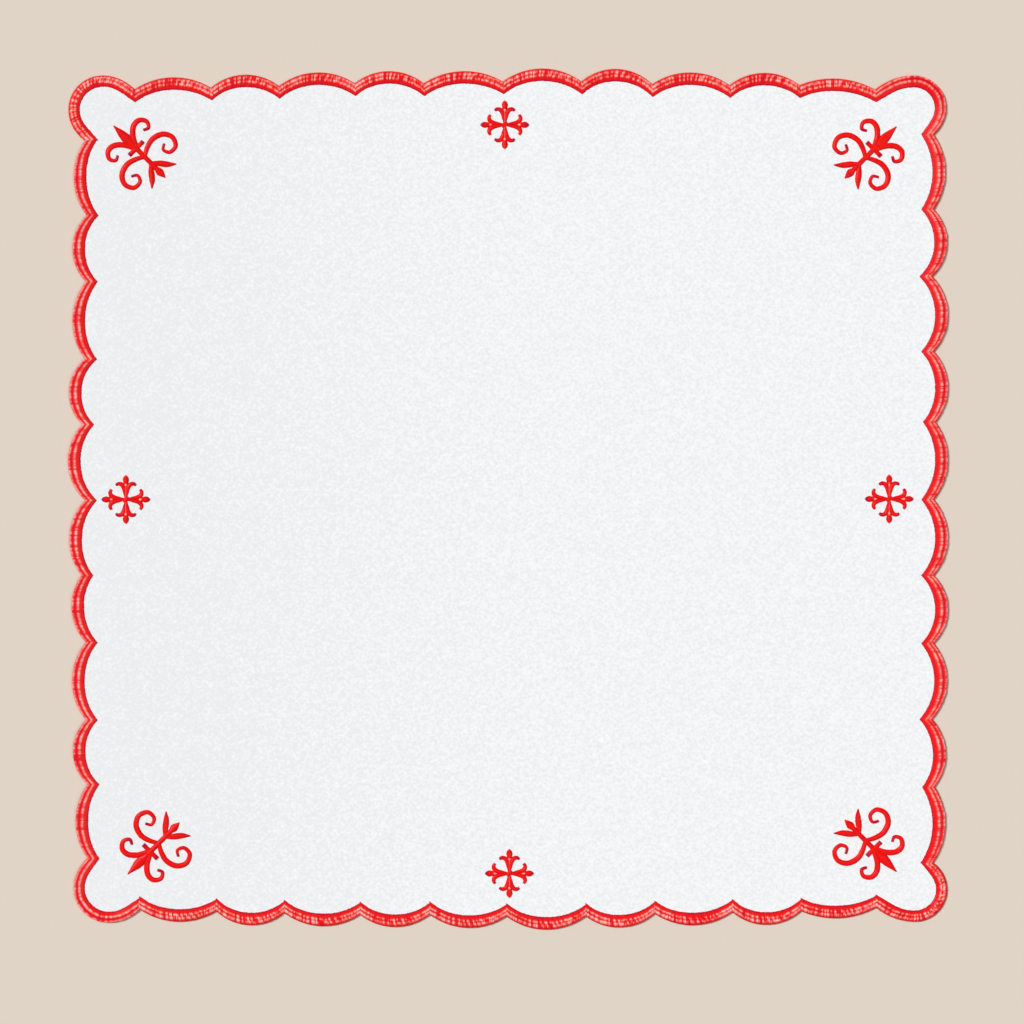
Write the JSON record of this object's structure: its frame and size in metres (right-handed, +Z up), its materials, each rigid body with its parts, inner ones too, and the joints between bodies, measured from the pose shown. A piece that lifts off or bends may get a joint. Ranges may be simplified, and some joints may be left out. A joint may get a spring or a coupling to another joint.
{
  "type": "altar napkin",
  "caption": "Flat square napkin of white cotton with a red satin-stitched scalloped edge, a cross fleury at the middle of each side and a lily sprig in each corner.",
  "frame": {"origin": "on the underside, in the middle of the outline's box, where the napkin rests", "axes": "+Z up out of the embroidered face, +Y towards the far side, +X towards the right-hand side of the napkin as it is read"},
  "size_m": [0.4992, 0.4884, 0.0024],
  "materials": {
    "white_cotton": "matt, fine plain weave",
    "red_satin_thread": "glossy satin-stitched thread"
  },
  "bodies": {
    "root": {"cloth_panel": "white_cotton", "scalloped_edge": "red_satin_thread", "cross_far": "red_satin_thread", "cross_near": "red_satin_thread", "cross_left": "red_satin_thread", "cross_right": "red_satin_thread", "sprig_far_left": "red_satin_thread", "sprig_far_right": "red_satin_thread", "sprig_near_right": "red_satin_thread", "sprig_near_left": "red_satin_thread"}
  },
  "joints": []
}
